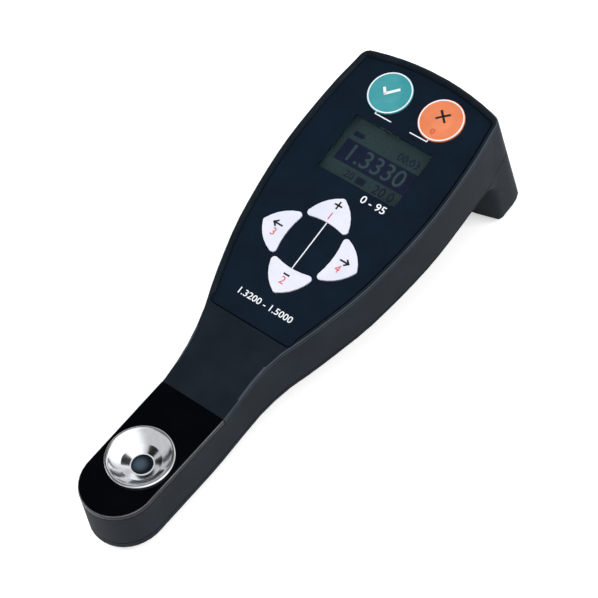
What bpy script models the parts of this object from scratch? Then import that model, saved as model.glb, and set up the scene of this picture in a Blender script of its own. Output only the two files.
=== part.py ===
"""Portable refractometer: sample dish in a low nose, tilted display head, battery leg at the rear.

X is to the right, Y runs from the nose to the leg, Z is up. The part stands on its three rubber feet.
Distances along the body are counted from the nose tip and called "along".
"""
import math

import bpy
import bmesh

MM = 0.001

# Body outline seen from above
BODY_LENGTH = 183.0 * MM
NOSE_RADIUS = 13.1 * MM
NOSE_LENGTH = 49.2 * MM
NOSE_LEAN = 0.5 * MM
HEAD_HALF_WIDTH = 30.8 * MM
REAR_CORNER_SHARE = 0.875
REAR_CORNER_HALF_WIDTH = NOSE_RADIUS + (HEAD_HALF_WIDTH - NOSE_RADIUS) * REAR_CORNER_SHARE
REAR_ARC_RADIUS = 97.8 * MM
REAR_CORNER_RADIUS = 4.0 * MM
REAR_LEAN_MIDDLE = 4.4 * MM
REAR_LEAN_CORNER = 7.4 * MM
LEAN_LENGTH = 8.0 * MM
LEAN_REST = 3.0 * MM
OUTLINE_SHARES = (
    (0.0716, 0.0), (0.2684, 0.012), (0.334, 0.035), (0.3668, 0.068), (0.4106, 0.175), (0.4652, 0.395),
    (0.5199, 0.58), (0.5746, 0.744), (0.6292, 0.85), (0.6839, 0.93), (0.7386, 0.985), (0.7823, 1.0),
    (0.8479, 0.983), (0.9026, 0.949), (0.9463, 0.89), (0.9622, 0.872))

# Body heights seen from the side
NOSE_TOP = 22.9 * MM
NOSE_STAND = 3.9 * MM
LEG_STAND = 0.4 * MM
ARCH_HEIGHT = 20.6 * MM
ARCH_START = 40.1 * MM
LEG_LENGTH = 18.5 * MM
LEG_ROOT = BODY_LENGTH - LEG_LENGTH
LEG_ROOT_RADIUS = 6.4 * MM
LEG_FRONT_SLOPE = 1.2 * MM
LEG_FRONT_BULGE = 4.3 * MM
LEG_EDGE_RADIUS = 2.4 * MM
SWEEP_SHARES = ((-0.3, 0.0), (0.0, 0.0), (0.2, 0.127), (0.36, 0.318), (0.53, 0.522), (0.69, 0.726),
                (0.86, 0.898), (1.0, 1.0), (1.16, 1.12))
ARCH_SHARES = ((-0.1, 0.0), (0.0, 0.0), (0.078, 0.05), (0.235, 0.21), (0.4, 0.43), (0.558, 0.61),
               (0.715, 0.77), (0.872, 0.93), (0.979, 1.0), (1.1, 1.0))

# Tilted head: its frame lies on the panel's face, midway between the round keys
PANEL_TILT = math.radians(10.5)
PANEL_FROM_REAR = 13.15 * MM
PANEL_ALONG = BODY_LENGTH - PANEL_FROM_REAR
PANEL_HEIGHT = 46.27 * MM
PANEL_THICKNESS = 1.0 * MM
PANEL_CORNER_RADIUS = 1.5 * MM
RIM_WIDTH = 2.35 * MM
RIM_RISE = 1.2 * MM
RIM_SLOPE_WIDTH = 0.8 * MM
RIM_EDGE_RADIUS = 0.9 * MM
CREASE_DEPTH = 0.25 * MM
CREASE_HEIGHT = 0.5 * MM

# Shells
WALL = 1.5 * MM
FLOOR = 1.8 * MM
DECK_THICKNESS = 1.7 * MM
GAP = 0.3 * MM
OVERRUN = 6.0 * MM
PARTING_RISE_NOSE = 3.0 * MM
PARTING_RISE_LEG = 1.1 * MM
PARTING_REAR_RISE = 5.8 * MM
PARTING_REAR_LENGTH = 11.4 * MM
TRAY_EDGE_RADIUS = 0.8 * MM
LEG_FRONT_RADIUS = 2.4 * MM
LEG_BOTTOM_RADIUS = 1.5 * MM
LEG_CORNER_RADIUS = 2.2 * MM

# Nose: plate, dish, prism and the optics below
PLATE_THICKNESS = 1.8 * MM
PLATE_EDGE_RADIUS = 0.6 * MM
DISH_ALONG = 23.5 * MM
DISH_RADIUS = 11.55 * MM
DISH_LIP_WIDTH = 1.15 * MM
DISH_LIP_RISE = 0.95 * MM
DISH_BODY_RADIUS = 10.55 * MM
DISH_SHOULDER = 1.0 * MM
BOWL_RADIUS = 6.85 * MM
BOWL_DEPTH = 2.25 * MM
BOWL_SHARES = ((0.0, 1.0), (0.4, 0.84), (0.7, 0.58), (0.92, 0.18))
LIP_SHARES = ((0.0, 0.5), (0.25, 0.9), (0.5, 1.0), (0.8, 0.88), (1.0, 0.55))
DISH_DEPTH = 4.45 * MM
DISH_SEAT_RADIUS = 6.6 * MM
DISH_HOLE_RADIUS = 3.92 * MM
DISH_HOLE_EDGE = 0.45 * MM
GASKET_WIDTH = 0.7 * MM
GASKET_THICKNESS = 0.5 * MM
COUNTERBORE_DEPTH = 0.9 * MM
PRISM_RADIUS = 3.6 * MM
PRISM_LENGTH = 12.0 * MM
PRISM_FOOT_LENGTH = 5.0 * MM
PRISM_OVERLAP = 1.0 * MM
SEAL_THICKNESS = 0.4 * MM
SEAL_WIDTH = 0.8 * MM
BLOCK_FRONT = 7.7 * MM
BLOCK_BACK = 44.6 * MM
BLOCK_HALF_WIDTH = 9.6 * MM
BLOCK_WALL = 2.4 * MM
BLOCK_FLOOR = 2.0 * MM
TROUGH_HALF_WIDTH = 5.0 * MM
LAMP_RADIUS = 1.5 * MM
LAMP_FLANGE_RADIUS = 2.0 * MM
LAMP_LENGTH = 5.2 * MM
LAMP_FLANGE = 1.0 * MM
LAMP_SHARES = ((0.0, 1.0), (0.5, 0.96), (0.87, 0.84), (1.0, 0.7), (1.0, 0.0))
LENS_ALONG = 35.7 * MM
LENS_THICKNESS = 2.6 * MM
LENS_BOW_SHARE = 0.35
LENS_SHOULDER_SHARE = 0.75
SENSOR_BOARD_HALF_WIDTH = 8.0 * MM
SENSOR_BOARD_HEIGHT = 9.6 * MM
SENSOR_BOARD_THICKNESS = 1.2 * MM
LINE_SENSOR_HALF_WIDTH = 4.0 * MM
LINE_SENSOR_HEIGHT = 3.0 * MM
LINE_SENSOR_DEPTH = 1.6 * MM
THERMO_RADIUS = 1.0 * MM
THERMO_LENGTH = 4.2 * MM
THERMO_OFFSET = 7.3 * MM
RIBBON_HALF_WIDTH = 3.5 * MM
RIBBON_THICKNESS = 0.35 * MM
RIBBON_REACH = 3.0 * MM
RIBBON_LIFT = 0.5 * MM
RIBBON_SHARES = ((0.0, 0.0), (0.06, -0.02), (0.3, 0.0), (0.55, 0.2), (0.8, 0.68), (0.92, 0.92), (1.0, 1.0))

# Display stack, in the head's frame
WINDOW_HALF_WIDTH = 16.2 * MM
WINDOW_REAR = 11.9 * MM
WINDOW_FRONT = 34.0 * MM
WINDOW_CORNER_RADIUS = 0.5 * MM
PANE_MARGIN = 1.0 * MM
PANE_THICKNESS = 1.0 * MM
LCD_THICKNESS = 1.8 * MM
LCD_MARGIN = 0.7 * MM
BOARD_DEPTH = 9.0 * MM
BOARD_THICKNESS = 1.6 * MM
BOARD_SIDE_ROOM = 9.8 * MM
BOARD_HALF_WIDTH = HEAD_HALF_WIDTH - BOARD_SIDE_ROOM
BOARD_NOSE_HALF_WIDTH = 11.0 * MM
BOARD_REAR = 4.0 * MM
BOARD_TAPER = 50.0 * MM
BOARD_FRONT_ROOM = 5.8 * MM
BOARD_BOSS_RADIUS = 1.7 * MM
BOARD_SCREW_RADIUS = 0.8 * MM
BOARD_SCREW_HEAD_RADIUS = 1.7 * MM
BOARD_SCREW_HEAD = 1.1 * MM
BOARD_SCREW_LENGTH = 6.0 * MM
BOARD_SCREW_REAR = 6.0 * MM
BOARD_SCREW_MARGIN = 2.0 * MM
BOARD_SCREW_FRONT_MARGIN = 8.0 * MM
BOARD_SCREW_FRONT_X = 10.5 * MM

# Keys, in the head's frame
KEY_TRAVEL = 0.4 * MM
KEY_RISE = 0.3 * MM
KEY_THICKNESS = 0.8 * MM
KEY_EDGE = 0.2 * MM
STEM_RADIUS = 2.0 * MM
STEM_HOLE_OVERRUN = 1.0 * MM
ROUND_KEY_RADIUS = 8.0 * MM
ROUND_KEY_SPACING = 21.36 * MM
DOME_RADIUS = 4.1 * MM
DOME_RISE = 0.45 * MM
DOME_SHARES = ((0.0, 1.0), (0.45, 0.85), (0.8, 0.4), (1.0, 0.0))
CLUSTER_CENTRE = 59.2 * MM
ARROW_INNER = 10.1 * MM
ARROW_OUTER = 18.2 * MM
ARROW_HALF_WIDTH = 7.0 * MM
ARROW_CORNER_RADIUS = 1.3 * MM
ARROW_SIDE_BULGE = 1.1 * MM
ARROW_BASE_BULGE = -0.9 * MM
SWITCH_SIDE = 6.0 * MM
SWITCH_HEIGHT = 3.1 * MM
SWITCH_BODY_SHARE = 0.6
PLUNGER_RADIUS = 1.6 * MM
CLUSTER_REACH = CLUSTER_CENTRE + ARROW_OUTER + ARROW_CORNER_RADIUS

# The panel ends between the arrow keys and the nose plate
PANEL_END_SHARE = 0.298
PANEL_ROOM = (PANEL_ALONG - NOSE_LENGTH) / math.cos(PANEL_TILT)
PANEL_FRONT = CLUSTER_REACH + (PANEL_ROOM - CLUSTER_REACH) * PANEL_END_SHARE
BOARD_FRONT = PANEL_FRONT - BOARD_FRONT_ROOM

# Housing screws
SCREW_NOSE_DISTANCE = 10.0 * MM
SCREW_LEG_DISTANCE = 23.3 * MM
SCREW_FRONT_X = 7.9 * MM
SCREW_SIDE_ROOM = 6.2 * MM
SCREW_RADIUS = 1.1 * MM
SCREW_HEAD_RADIUS = 2.1 * MM
SCREW_HEAD = 1.4 * MM
SCREW_LENGTH = 9.0 * MM
SCREW_RECESS = 3.4 * MM
PAD_RADIUS = 3.7 * MM
PAD_HEIGHT = 5.5 * MM
BOSS_RADIUS = 2.5 * MM

# Battery bay in the leg
CELL_RADIUS = 5.25 * MM
CELL_END_ROOM = 6.84 * MM
CELL_LENGTH = (REAR_CORNER_HALF_WIDTH - CELL_END_ROOM) * 2
CELL_EDGE = 0.65 * MM
NUB_RADIUS = 1.9 * MM
NUB_LENGTH = 1.0 * MM
LOWER_CELL_FROM_REAR = 4.8 * MM
UPPER_CELL_FROM_REAR = 6.3 * MM
CONTACT_THICKNESS = 0.4 * MM
CONTACT_HALF_WIDTH = 3.6 * MM
RIB_THICKNESS = 3.8 * MM
RIB_FROM_REAR = 4.9 * MM
SPRING_WIRE_RADIUS = 0.2 * MM
SPRING_OUTER_RADIUS = 4.0 * MM
SPRING_INNER_RADIUS = 1.8 * MM
SPRING_TURNS = 2.25
COVER_MARGIN = 1.45 * MM
COVER_HALF_WIDTH = CELL_LENGTH / 2 + COVER_MARGIN
COVER_BOTTOM = 3.4 * MM
COVER_TOP = 26.5 * MM
COVER_DEPTH = 5.9 * MM
GRIP_RADIUS = 0.5 * MM
GRIP_HALF_LENGTH = 7.0 * MM
GRIP_SPACING = 2.2 * MM
GRIP_DROP = 4.0 * MM
GRIP_COUNT = 3

# Feet
FOOT_RADIUS = 4.0 * MM
FOOT_SINK = 0.9 * MM
NOSE_FOOT_ALONG = 17.1 * MM
LEG_FOOT_FROM_REAR = 4.0 * MM
LEG_FOOT_SET_IN = 2.75 * MM

# Fineness of curved surfaces
NOSE_STEPS = 9
SIDE_STEPS = 24
CORNER_STEPS = 4
ARC_STEPS = 5
ROUND_STEPS = 32
SMALL_ROUND_STEPS = 14
BULGE_COLUMNS = 8
SHARP_ANGLE = math.radians(35)
MERGE_DISTANCE = 0.01 * MM

HALF_LENGTH = (BODY_LENGTH + REAR_LEAN_MIDDLE - NOSE_LEAN) / 2
RIM_TOP = RIM_RISE / math.cos(PANEL_TILT)
PANEL_FRONT_ALONG = PANEL_ALONG - PANEL_FRONT * math.cos(PANEL_TILT)
LEG_FRONT = LEG_ROOT + LEG_ROOT_RADIUS
LEG_EDGE = LEG_FRONT + LEG_FRONT_SLOPE
LEG_FLAT = LEG_EDGE + LEG_EDGE_RADIUS
LOWER_CELL_ALONG = BODY_LENGTH - LOWER_CELL_FROM_REAR
UPPER_CELL_ALONG = BODY_LENGTH - UPPER_CELL_FROM_REAR
COVER_FRONT = BODY_LENGTH - COVER_DEPTH


def smooth_value(table, place):
    """Reads a smooth curve through a table of (place, value) pairs."""
    if place <= table[0][0]:
        return table[0][1]
    if place >= table[-1][0]:
        return table[-1][1]
    slopes = []
    for index in range(len(table)):
        before = table[max(index - 1, 0)]
        after = table[min(index + 1, len(table) - 1)]
        slopes.append((after[1] - before[1]) / (after[0] - before[0]))
    index = max(i for i in range(len(table) - 1) if table[i][0] <= place)
    (start, low), (end, high) = table[index], table[index + 1]
    span = end - start
    t = (place - start) / span
    return (low * (1 + 2 * t) * (1 - t) ** 2 + high * t * t * (3 - 2 * t)
            + slopes[index] * span * t * (1 - t) ** 2 - slopes[index + 1] * span * t * t * (1 - t))


def half_width(along):
    share = smooth_value(OUTLINE_SHARES, along / BODY_LENGTH)
    return NOSE_RADIUS + (HEAD_HALF_WIDTH - NOSE_RADIUS) * share


def panel_plane(along):
    return PANEL_HEIGHT + (along - PANEL_ALONG) * math.tan(PANEL_TILT)


def top_edge(along):
    """Height of the upper shell's top edge."""
    if along >= PANEL_FRONT_ALONG:
        return panel_plane(along) + RIM_TOP
    front_height = panel_plane(PANEL_FRONT_ALONG) + RIM_TOP
    place = (along - NOSE_LENGTH) / (PANEL_FRONT_ALONG - NOSE_LENGTH)
    return NOSE_TOP + (front_height - NOSE_TOP) * smooth_value(SWEEP_SHARES, place)


def underside(along):
    """Height of the lower shell's underside: flat nose, arch, then the leg's front face and flat end."""
    root_height = NOSE_STAND + ARCH_HEIGHT
    if along <= LEG_ROOT:
        place = (along - ARCH_START) / (LEG_ROOT - ARCH_START)
        return NOSE_STAND + ARCH_HEIGHT * smooth_value(ARCH_SHARES, place)
    if along <= LEG_FRONT:
        reach = along - LEG_ROOT
        return root_height - LEG_ROOT_RADIUS + math.sqrt(max(LEG_ROOT_RADIUS ** 2 - reach ** 2, 0))
    high = root_height - LEG_ROOT_RADIUS
    low = LEG_STAND + LEG_EDGE_RADIUS
    if along <= LEG_EDGE:
        return high + (low - high) * (along - LEG_FRONT) / LEG_FRONT_SLOPE
    if along <= LEG_FLAT:
        reach = LEG_FLAT - along
        return low - math.sqrt(max(LEG_EDGE_RADIUS ** 2 - reach ** 2, 0))
    return LEG_STAND


def parting(along):
    """Height of the line where the two shells meet."""
    flat = min(along, LEG_ROOT)
    place = flat / LEG_ROOT
    rise = PARTING_RISE_NOSE + (PARTING_RISE_LEG - PARTING_RISE_NOSE) * place
    climb = max(along - BODY_LENGTH + PARTING_REAR_LENGTH, 0) / PARTING_REAR_LENGTH
    return underside(flat) + rise + PARTING_REAR_RISE * climb * (2 - climb)


def ease(place):
    return place * place * (3 - 2 * place)


def lean(x, along, height):
    """How far the walls lean out towards the ground: the rear wall backwards, the nose's tip forwards."""
    rear = min(max(1 - (BODY_LENGTH - LEAN_REST - along) / LEAN_LENGTH, 0), 1)
    corner_share = min(abs(x) / REAR_CORNER_HALF_WIDTH, 1) ** 2
    full = REAR_LEAN_MIDDLE + (REAR_LEAN_CORNER - REAR_LEAN_MIDDLE) * corner_share
    top = top_edge(BODY_LENGTH)
    backwards = full * ease(rear) * (top - height) / top
    nose = min(max(1 - along / NOSE_RADIUS, 0), 1)
    forwards = NOSE_LEAN * ease(nose) * (NOSE_TOP - height) / NOSE_TOP
    return backwards - forwards


def at(x, along, height):
    """World point of a place on the body."""
    return (x, along + lean(x, along, height) - HALF_LENGTH, height)


def leg_stations(shift):
    quarter = math.pi / 2
    stations = [LEG_ROOT]
    for step in range(1, CORNER_STEPS + 1):
        stations.append(LEG_ROOT + LEG_ROOT_RADIUS * math.sin(quarter * step / CORNER_STEPS))
    for step in range(CORNER_STEPS):
        stations.append(LEG_FLAT - LEG_EDGE_RADIUS * math.cos(quarter * step / CORNER_STEPS))
    stations.append(LEG_FLAT)
    return [station + shift for station in stations]


def front_bulge(along):
    """How far the middle of the leg's front face stands forward of its sides."""
    return LEG_FRONT_BULGE if LEG_ROOT <= along + MERGE_DISTANCE and along <= LEG_FLAT + MERGE_DISTANCE else 0


def side_line(inset=0, shift=0):
    """Right half of the body's outline from nose to rear: (x, along) pairs, drawn in by the inset."""
    points = []
    for step in range(NOSE_STEPS):
        angle = math.pi / 2 * (step + 0.5) / NOSE_STEPS
        points.append((NOSE_RADIUS * math.sin(angle), NOSE_RADIUS * (1 - math.cos(angle))))
    arc_centre = BODY_LENGTH - REAR_ARC_RADIUS
    corner_x = REAR_CORNER_HALF_WIDTH - REAR_CORNER_RADIUS
    reach = REAR_ARC_RADIUS - REAR_CORNER_RADIUS
    corner_along = arc_centre + math.sqrt(reach ** 2 - corner_x ** 2)
    leg = [station for station in leg_stations(shift) if station < corner_along]
    stations = [NOSE_RADIUS, NOSE_LENGTH, PANEL_FRONT_ALONG]
    for step in range(1, SIDE_STEPS):
        station = NOSE_RADIUS + (leg[0] - NOSE_RADIUS) * step / SIDE_STEPS
        if min(abs(station - kept) for kept in stations) > WALL:
            stations.append(station)
    stations = sorted(stations) + leg
    points += [(half_width(station), station) for station in stations]
    turn = math.atan2(corner_along - arc_centre, corner_x)
    for step in range(CORNER_STEPS):
        angle = turn * (step + 0.5) / CORNER_STEPS
        points.append((corner_x + REAR_CORNER_RADIUS * math.cos(angle),
                       corner_along + REAR_CORNER_RADIUS * math.sin(angle)))
    for step in range(ARC_STEPS):
        angle = turn + (math.pi / 2 - turn) * (step + 0.25) / ARC_STEPS
        points.append((REAR_ARC_RADIUS * math.cos(angle), arc_centre + REAR_ARC_RADIUS * math.sin(angle)))
    if not inset:
        return points
    moved = []
    for index, (x, along) in enumerate(points):
        nx, ny = plan_normal(points, index)
        moved.append((x - nx * inset, along - ny * inset))
    return moved


def plan_normal(points, index):
    """Outward normal of the outline at one of its points, with the other half mirrored on at both ends."""
    x, along = points[index]
    before = points[index - 1] if index else (-x, along)
    after = points[index + 1] if index + 1 < len(points) else (-x, along)
    dx, dy = after[0] - before[0], after[1] - before[1]
    size = math.hypot(dx, dy)
    return dy / size, -dx / size


def cap_row(bm, right, left, bulge):
    """Points across a cap from right to left, bulging towards the nose."""
    row = [right]
    for column in range(1, BULGE_COLUMNS):
        across = 1 - 2 * column / BULGE_COLUMNS
        row.append(bm.verts.new((right.co.x * across, right.co.y - bulge * (1 - across * across), right.co.z)))
    return row + [left]


def loft(name, rings, bulges=()):
    """Closed body between rings; a ring is the right half of a loop as (x, y, z) points, front to rear.

    Bulges are how far the first cap's middle stands forward at each point of its ring.
    """
    bm = bmesh.new()
    halves = []
    for ring in rings:
        right = [bm.verts.new(point) for point in ring]
        left = [bm.verts.new((-x, y, z)) for x, y, z in ring]
        halves.append((right, left))
    for (right, left), (next_right, next_left) in zip(halves, halves[1:]):
        loop = right + left[::-1]
        next_loop = next_right + next_left[::-1]
        for index in range(len(loop)):
            after = (index + 1) % len(loop)
            bm.faces.new((loop[index], loop[after], next_loop[after], next_loop[index]))
    for (right, left), cap_bulges in ((halves[0], bulges), (halves[-1], ())):
        near = [any(cap_bulges[max(index - 1, 0):index + 2]) for index in range(len(right))]
        rows = [cap_row(bm, right[index], left[index], cap_bulges[index]) if near[index]
                else [right[index], left[index]] for index in range(len(right))]
        for row, next_row in zip(rows, rows[1:]):
            if len(row) > 2 and len(next_row) > 2:
                for a, b, c, d in zip(row, row[1:], next_row, next_row[1:]):
                    bm.faces.new((a, b, d, c))
            else:
                bm.faces.new(row + next_row[::-1])
    bmesh.ops.recalc_face_normals(bm, faces=bm.faces)
    return finished(name, bm)


def finished(name, bm):
    mesh = bpy.data.meshes.new(name)
    bm.to_mesh(mesh)
    bm.free()
    return mesh


def box_mesh(name, low, high):
    bm = bmesh.new()
    bmesh.ops.create_cube(bm, size=1)
    size = [b - a for a, b in zip(low, high)]
    middle = [(a + b) / 2 for a, b in zip(low, high)]
    bmesh.ops.scale(bm, vec=size, verts=bm.verts)
    bmesh.ops.translate(bm, vec=middle, verts=bm.verts)
    return finished(name, bm)


def rod_mesh(name, radius, low, high, x=0, y=0, steps=SMALL_ROUND_STEPS):
    """Upright cylinder from low to high."""
    bm = bmesh.new()
    bmesh.ops.create_cone(bm, cap_ends=True, segments=steps, radius1=radius, radius2=radius, depth=high - low)
    bmesh.ops.translate(bm, vec=(x, y, (low + high) / 2), verts=bm.verts)
    return finished(name, bm)


def plate_mesh(name, outline, low, high, edge=0):
    """Flat plate with the outline's shape; its top edge is rounded by the given radius."""
    bm = bmesh.new()
    face = bm.faces.new([bm.verts.new((x, y, low)) for x, y in outline])
    result = bmesh.ops.extrude_face_region(bm, geom=[face], use_keep_orig=True)
    raised = [item for item in result["geom"] if isinstance(item, bmesh.types.BMVert)]
    bmesh.ops.translate(bm, vec=(0, 0, high - low), verts=raised)
    if edge:
        rim = {e for e in bm.edges if all(v in raised for v in e.verts)}
        bmesh.ops.bevel(bm, geom=list(rim), offset=edge, segments=2, profile=0.5, material=-1, affect="EDGES")
    bmesh.ops.recalc_face_normals(bm, faces=bm.faces)
    return finished(name, bm)


def turned(name, profile, colour, steps=ROUND_STEPS, closed=False, parent=None):
    """Turned piece: the (radius, height) profile runs down its outer side."""
    bm = bmesh.new()
    verts = [bm.verts.new((radius, 0, height)) for radius, height in profile]
    for first, second in zip(verts, verts[1:]):
        bm.edges.new((first, second))
    if closed:
        bm.edges.new((verts[-1], verts[0]))
    obj = solid(name, finished(name, bm), colour, parent)
    screw = obj.modifiers.new("turn", "SCREW")
    screw.steps = steps
    screw.render_steps = steps
    screw.use_merge_vertices = True
    screw.merge_threshold = MERGE_DISTANCE
    screw.use_smooth_shade = True
    return obj


def material(name, colour, roughness, metallic=0.0):
    made = bpy.data.materials.new(name)
    made.use_nodes = True
    shader = made.node_tree.nodes["Principled BSDF"]
    shader.inputs["Base Color"].default_value = (*colour, 1)
    shader.inputs["Roughness"].default_value = roughness
    shader.inputs["Metallic"].default_value = metallic
    return made


def solid(name, mesh, look, parent=None):
    obj = bpy.data.objects.new(name, mesh)
    parts.objects.link(obj)
    colour, roughness, metallic = look
    mesh.materials.append(material(name, colour, roughness, metallic))
    mesh.shade_smooth()
    mesh.set_sharp_from_angle(angle=SHARP_ANGLE)
    obj.parent = parent
    return obj


def cutter(mesh, parent=None):
    obj = bpy.data.objects.new("cutter_" + mesh.name, mesh)
    cutters.objects.link(obj)
    obj.hide_render = True
    obj.display_type = "WIRE"
    obj.parent = parent
    return obj


def combine(target, tools, operation):
    for tool in tools:
        step = target.modifiers.new(operation.lower() + "_" + tool.name, "BOOLEAN")
        step.operation = operation
        step.solver = "EXACT"
        step.object = tool


def cut(target, *tools):
    combine(target, tools, "DIFFERENCE")


def join(target, *tools):
    combine(target, tools, "UNION")


def rounded_outline(corners, bulges, radius, steps=5):
    """Outline around corner circles in turn order, with a bulge on the side after each corner."""
    sides = []
    for index, start in enumerate(corners):
        end = corners[(index + 1) % len(corners)]
        dx, dy = end[0] - start[0], end[1] - start[1]
        length = math.hypot(dx, dy)
        out = (dy / length, -dx / length)
        for step in range(steps + 1):
            t = step / steps
            swell = bulges[index] * 4 * t * (1 - t)
            slope = bulges[index] * 4 * (1 - 2 * t) / length
            size = math.hypot(1, slope)
            normal = ((out[0] - slope * dx / length) / size, (out[1] - slope * dy / length) / size)
            sides.append((start[0] + dx * t + out[0] * swell + normal[0] * radius,
                          start[1] + dy * t + out[1] * swell + normal[1] * radius,
                          normal, step == steps, end))
    points = []
    for index, (x, y, normal, last, corner) in enumerate(sides):
        points.append((x, y))
        if not last:
            continue
        following = sides[(index + 1) % len(sides)][2]
        start_angle = math.atan2(normal[1], normal[0])
        sweep = (math.atan2(following[1], following[0]) - start_angle) % (2 * math.pi)
        for step in range(1, steps):
            angle = start_angle + sweep * step / steps
            points.append((corner[0] + radius * math.cos(angle), corner[1] + radius * math.sin(angle)))
    return points


def circle(radius, x=0, y=0, steps=ROUND_STEPS):
    angles = [2 * math.pi * step / steps for step in range(steps)]
    return [(x + radius * math.cos(angle), y + radius * math.sin(angle)) for angle in angles]


for old in list(bpy.data.objects):
    bpy.data.objects.remove(old, do_unlink=True)
parts = bpy.data.collections.new("portable_refractometer")
cutters = bpy.data.collections.new("cutters")
for collection in (parts, cutters):
    bpy.context.scene.collection.children.link(collection)

# Finishes: colour, roughness, metallic
HOUSING_BLACK = ((0.022, 0.022, 0.024), 0.62, 0.0)
GLOSS_BLACK = ((0.008, 0.008, 0.01), 0.12, 0.0)
PANEL_BLACK = ((0.012, 0.014, 0.022), 0.4, 0.0)
STAINLESS = ((0.75, 0.75, 0.76), 0.14, 1.0)
GLASS_DARK = ((0.12, 0.16, 0.2), 0.05, 0.0)
RUBBER = ((0.03, 0.03, 0.03), 0.85, 0.0)
ALUMINIUM = ((0.55, 0.56, 0.58), 0.35, 1.0)
BOARD_GREEN = ((0.03, 0.14, 0.07), 0.5, 0.0)
CHIP_BLACK = ((0.02, 0.02, 0.022), 0.45, 0.0)
NICKEL = ((0.7, 0.68, 0.62), 0.3, 1.0)
STEEL = ((0.5, 0.5, 0.52), 0.35, 1.0)
TEAL = ((0.03, 0.27, 0.25), 0.45, 0.0)
ORANGE = ((0.8, 0.17, 0.06), 0.45, 0.0)
LILAC = ((0.62, 0.58, 0.72), 0.45, 0.0)
CLEAR = ((0.8, 0.85, 0.85), 0.05, 0.0)
LCD_GREEN = ((0.3, 0.38, 0.33), 0.35, 0.0)
CARRIER_WHITE = ((0.7, 0.7, 0.68), 0.5, 0.0)
LAMP_AMBER = ((0.8, 0.6, 0.15), 0.15, 0.0)
CELL_SILVER = ((0.45, 0.46, 0.48), 0.35, 0.6)
FLEX_AMBER = ((0.45, 0.22, 0.05), 0.4, 0.0)

# The head's frame, tilted with the panel
head = bpy.data.objects.new("head_frame", None)
parts.objects.link(head)
head.location = (0, PANEL_ALONG - HALF_LENGTH, PANEL_HEIGHT)
head.rotation_euler = (PANEL_TILT, 0, 0)


def panel_line(margin):
    """Right half of the panel's outline in the head's frame, with a margin around it."""
    front = -PANEL_FRONT - margin
    radius = PANEL_CORNER_RADIUS + margin
    seat = side_line(RIM_WIDTH)
    first = next(i for i, (_, along) in enumerate(seat) if along > PANEL_FRONT_ALONG + PANEL_CORNER_RADIUS)
    sides = [(x, (along - PANEL_ALONG) / math.cos(PANEL_TILT))
             for x, along in side_line(RIM_WIDTH - margin)[first:]]
    corner_x = sides[0][0] - radius
    corner = []
    for step in range(CORNER_STEPS):
        angle = math.pi / 2 * (step / CORNER_STEPS - 1)
        corner.append((corner_x + radius * math.cos(angle), front + radius * (1 + math.sin(angle))))
    return corner + sides


def arrow_outline(margin, turn):
    """Curved-triangle key outline, pointing away from the middle of its cluster."""
    corners = ((ARROW_INNER, -ARROW_HALF_WIDTH), (ARROW_OUTER, 0), (ARROW_INNER, ARROW_HALF_WIDTH))
    bulges = (ARROW_SIDE_BULGE, ARROW_SIDE_BULGE, ARROW_BASE_BULGE)
    points = rounded_outline(corners, bulges, ARROW_CORNER_RADIUS + margin)
    return [(x * math.cos(turn) - y * math.sin(turn), x * math.sin(turn) + y * math.cos(turn) - CLUSTER_CENTRE)
            for x, y in points]


ARROW_TURNS = {"right": 0, "up": math.pi / 2, "left": math.pi, "down": -math.pi / 2}
ARROW_MIDDLE = (ARROW_INNER * 2 + ARROW_OUTER) / 3
ROUND_PLACES = {"ok": (-ROUND_KEY_SPACING / 2, 0), "esc": (ROUND_KEY_SPACING / 2, 0)}
ARROW_PLACES = {name: (ARROW_MIDDLE * math.cos(turn), ARROW_MIDDLE * math.sin(turn) - CLUSTER_CENTRE)
                for name, turn in ARROW_TURNS.items()}
KEY_PLACES = {**ROUND_PLACES, **ARROW_PLACES}
RECESS_FLOOR = PANEL_THICKNESS + GAP
DECK_BOTTOM = RECESS_FLOOR + DECK_THICKNESS
CEILING_DROP = (RIM_RISE + DECK_BOTTOM) / math.cos(PANEL_TILT)
STEM_END = BOARD_DEPTH - GAP - SWITCH_HEIGHT - GAP - KEY_TRAVEL
SCREW_PAIRS = ((NOSE_LENGTH + SCREW_NOSE_DISTANCE, SCREW_FRONT_X),
               (LEG_ROOT - SCREW_LEG_DISTANCE, HEAD_HALF_WIDTH - SCREW_SIDE_ROOM))
SCREW_PLACES = [(side * x, along) for along, x in SCREW_PAIRS for side in (-1, 1)]
BOARD_SCREW_PAIRS = ((BOARD_SCREW_REAR, BOARD_HALF_WIDTH - BOARD_SCREW_MARGIN),
                     (BOARD_FRONT - BOARD_SCREW_FRONT_MARGIN, BOARD_SCREW_FRONT_X))
BOARD_SCREWS = [(side * x, -y) for y, x in BOARD_SCREW_PAIRS for side in (-1, 1)]

# Upper housing: outer skin with a crease under the rim, hollowed from below
outer_line = side_line()


def skin_ring(inset, drop):
    line = side_line(inset) if inset else outer_line
    return [at(x, along, top_edge(place) - drop) for (x, along), (_, place) in zip(line, outer_line)]


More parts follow.
